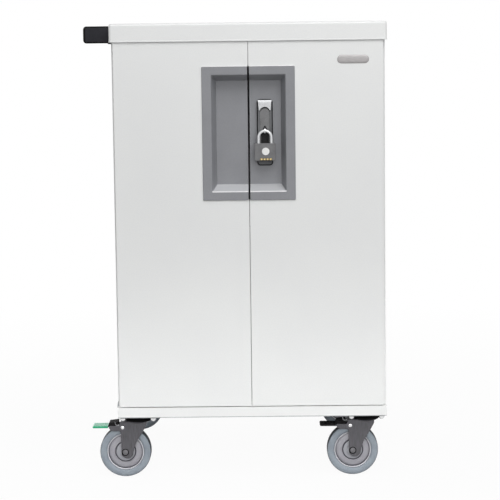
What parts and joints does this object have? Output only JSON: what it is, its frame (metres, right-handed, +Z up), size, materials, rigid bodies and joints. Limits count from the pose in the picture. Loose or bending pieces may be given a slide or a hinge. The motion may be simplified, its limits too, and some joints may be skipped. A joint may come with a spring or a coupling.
{
  "type": "laptop charging cart",
  "caption": "Wheeled sheet-steel cabinet with double doors, a recessed padlocked lever latch, device slots and a rear charging bay.",
  "frame": {"origin": "on the floor, midway in overall width and depth", "axes": "+Z up, -Y towards the front doors, +X to the right when facing the doors"},
  "size_m": [0.726, 0.608, 1.106],
  "materials": {
    "white_paint": "satin white powder coat",
    "grey_plastic": "moulded grey",
    "black_plastic": "moulded black",
    "green_plastic": "moulded green",
    "zinc_steel": "bright zinc plated",
    "chrome": "polished",
    "dark_steel": "dark grey coated steel",
    "brass": "turned brass",
    "tyre_rubber": "grey rubber",
    "hub_plastic": "moulded grey"
  },
  "bodies": {
    "cabinet": {"base_pan": "white_paint", "left_side_panel": "white_paint", "right_side_panel": "white_paint", "top_panel": "white_paint", "lid": "white_paint", "push_handle": "black_plastic", "partition": "white_paint", "shelf": "white_paint", "lower_rack": "grey_plastic", "upper_rack": "grey_plastic", "lower_power_strip": "black_plastic", "upper_power_strip": "black_plastic", "timer_box": "grey_plastic", "power_sill": "white_paint", "power_inlet": "black_plastic", "front_left_caster_plate": "dark_steel", "front_right_caster_plate": "dark_steel", "rear_left_caster_plate": "dark_steel", "rear_right_caster_plate": "dark_steel"},
    "left_door": {"left_door": "white_paint", "left_bezel": "grey_plastic", "left_door_upper_pin": "zinc_steel", "left_door_lower_pin": "zinc_steel"},
    "right_door": {"right_door": "white_paint", "right_bezel": "grey_plastic", "right_door_upper_pin": "zinc_steel", "right_door_lower_pin": "zinc_steel", "latch_housing": "dark_steel"},
    "rear_door": {"rear_door": "white_paint"},
    "rear_lock": {"rear_lock": "chrome"},
    "latch_lever": {"latch_lever": "dark_steel"},
    "latch_rocker": {"latch_rocker": "zinc_steel"},
    "upper_lock_rod": {"upper_lock_rod": "zinc_steel"},
    "lower_lock_rod": {"lower_lock_rod": "zinc_steel"},
    "padlock_shackle": {"padlock_shackle": "chrome"},
    "padlock_body": {"padlock_body": "dark_steel"},
    "rocker_switch": {"rocker_switch": "black_plastic"},
    "padlock_dial_1": {"padlock_dial_1": "brass"},
    "padlock_dial_2": {"padlock_dial_2": "brass"},
    "padlock_dial_3": {"padlock_dial_3": "brass"},
    "padlock_dial_4": {"padlock_dial_4": "brass"},
    "front_left_swivel": {"front_left_caster_fork": "dark_steel", "front_left_caster_axle": "zinc_steel"},
    "front_left_wheel": {"front_left_caster_tyre": "tyre_rubber", "front_left_caster_hub": "hub_plastic"},
    "front_right_swivel": {"front_right_caster_fork": "dark_steel", "front_right_caster_axle": "zinc_steel"},
    "front_right_wheel": {"front_right_caster_tyre": "tyre_rubber", "front_right_caster_hub": "hub_plastic"},
    "rear_left_swivel": {"rear_left_caster_fork": "dark_steel", "rear_left_caster_axle": "zinc_steel"},
    "rear_left_wheel": {"rear_left_caster_tyre": "tyre_rubber", "rear_left_caster_hub": "hub_plastic"},
    "rear_right_swivel": {"rear_right_caster_fork": "dark_steel", "rear_right_caster_axle": "zinc_steel"},
    "rear_right_wheel": {"rear_right_caster_tyre": "tyre_rubber", "rear_right_caster_hub": "hub_plastic"},
    "front_left_pedal": {"front_left_brake_pedal": "green_plastic"},
    "front_right_pedal": {"front_right_brake_pedal": "black_plastic"}
  },
  "joints": [
    {"name": "left_door_swing", "type": "hinge", "parent": "cabinet", "child": "left_door", "pos_m": [-0.278, -0.292, 0.622], "axis": [0, 0, -1], "range_deg": [0, 180]},
    {"name": "right_door_swing", "type": "hinge", "parent": "cabinet", "child": "right_door", "pos_m": [0.346, -0.292, 0.622], "axis": [0, 0, 1], "range_deg": [0, 180]},
    {"name": "rear_door_swing", "type": "hinge", "parent": "cabinet", "child": "rear_door", "pos_m": [0.346, 0.292, 0.666], "axis": [0, 0, -1], "range_deg": [0, 150]},
    {"name": "rear_lock_turn", "type": "hinge", "parent": "rear_door", "child": "rear_lock", "pos_m": [-0.236, 0.3, 0.66615], "axis": [0, -1, 0], "range_deg": [0, 90]},
    {"name": "lever_lift", "type": "hinge", "parent": "right_door", "child": "latch_lever", "pos_m": [0.0725, -0.2755, 0.89515], "axis": [-1, 0, 0], "range_deg": [0, 45]},
    {"name": "upper_rod_slide", "type": "slide", "parent": "right_door", "child": "upper_lock_rod", "axis": [0, 0, -1], "range_m": [0, 0.015]},
    {"name": "lower_rod_slide", "type": "slide", "parent": "right_door", "child": "lower_lock_rod", "axis": [0, 0, 1], "range_m": [0, 0.015]},
    {"name": "rocker_turn", "type": "hinge", "parent": "right_door", "child": "latch_rocker", "pos_m": [0.0725, -0.2557, 0.844], "axis": [0, 1, 0], "range_deg": [0, 41.11]},
    {"name": "padlock_swing", "type": "hinge", "parent": "latch_lever", "child": "padlock_shackle", "pos_m": [0.0725, -0.291, 0.84885], "axis": [-1, 0, 0], "range_deg": [0, 80]},
    {"name": "padlock_drop", "type": "slide", "parent": "padlock_shackle", "child": "padlock_body", "axis": [0, 0, -1], "range_m": [0, 0.01]},
    {"name": "switch_tip", "type": "hinge", "parent": "cabinet", "child": "rocker_switch", "pos_m": [0.209, 0.297, 0.2263], "axis": [-1, 0, 0], "range_deg": [0, 14]},
    {"name": "dial_1_turn", "type": "hinge", "parent": "padlock_body", "child": "padlock_dial_1", "pos_m": [0.0637, -0.2933, 0.78585], "axis": [1, 0, 0], "continuous": true},
    {"name": "dial_2_turn", "type": "hinge", "parent": "padlock_body", "child": "padlock_dial_2", "pos_m": [0.0709, -0.2933, 0.78585], "axis": [1, 0, 0], "continuous": true},
    {"name": "dial_3_turn", "type": "hinge", "parent": "padlock_body", "child": "padlock_dial_3", "pos_m": [0.0781, -0.2933, 0.78585], "axis": [1, 0, 0], "continuous": true},
    {"name": "dial_4_turn", "type": "hinge", "parent": "padlock_body", "child": "padlock_dial_4", "pos_m": [0.0853, -0.2933, 0.78585], "axis": [1, 0, 0], "continuous": true},
    {"name": "front_left_swivel_turn", "type": "hinge", "parent": "cabinet", "child": "front_left_swivel", "pos_m": [-0.2445, -0.24, 0.15], "axis": [0, 0, 1], "continuous": true},
    {"name": "front_left_wheel_turn", "type": "hinge", "parent": "front_left_swivel", "child": "front_left_wheel", "pos_m": [-0.278, -0.24, 0.0625], "axis": [0, 1, 0], "continuous": true},
    {"name": "front_right_swivel_turn", "type": "hinge", "parent": "cabinet", "child": "front_right_swivel", "pos_m": [0.3125, -0.24, 0.15], "axis": [0, 0, 1], "continuous": true},
    {"name": "front_right_wheel_turn", "type": "hinge", "parent": "front_right_swivel", "child": "front_right_wheel", "pos_m": [0.279, -0.24, 0.0625], "axis": [0, 1, 0], "continuous": true},
    {"name": "rear_left_swivel_turn", "type": "hinge", "parent": "cabinet", "child": "rear_left_swivel", "pos_m": [-0.2445, 0.24, 0.15], "axis": [0, 0, 1], "continuous": true},
    {"name": "rear_left_wheel_turn", "type": "hinge", "parent": "rear_left_swivel", "child": "rear_left_wheel", "pos_m": [-0.278, 0.24, 0.0625], "axis": [0, 1, 0], "continuous": true},
    {"name": "rear_right_swivel_turn", "type": "hinge", "parent": "cabinet", "child": "rear_right_swivel", "pos_m": [0.3125, 0.24, 0.15], "axis": [0, 0, 1], "continuous": true},
    {"name": "rear_right_wheel_turn", "type": "hinge", "parent": "rear_right_swivel", "child": "rear_right_wheel", "pos_m": [0.279, 0.24, 0.0625], "axis": [0, 1, 0], "continuous": true},
    {"name": "front_left_pedal_press", "type": "hinge", "parent": "front_left_swivel", "child": "front_left_pedal", "pos_m": [-0.3025, -0.24, 0.1255], "axis": [0, -1, 0], "range_deg": [0, 16]},
    {"name": "front_right_pedal_press", "type": "hinge", "parent": "front_right_swivel", "child": "front_right_pedal", "pos_m": [0.2545, -0.24, 0.1255], "axis": [0, -1, 0], "range_deg": [0, 16]}
  ],
  "couplings": [
    {"joint": "upper_rod_slide", "follows": "lever_lift", "m_per_rad": 0.019098},
    {"joint": "lower_rod_slide", "follows": "lever_lift", "m_per_rad": 0.019098},
    {"joint": "rocker_turn", "follows": "lever_lift", "ratio": 0.9136}
  ]
}
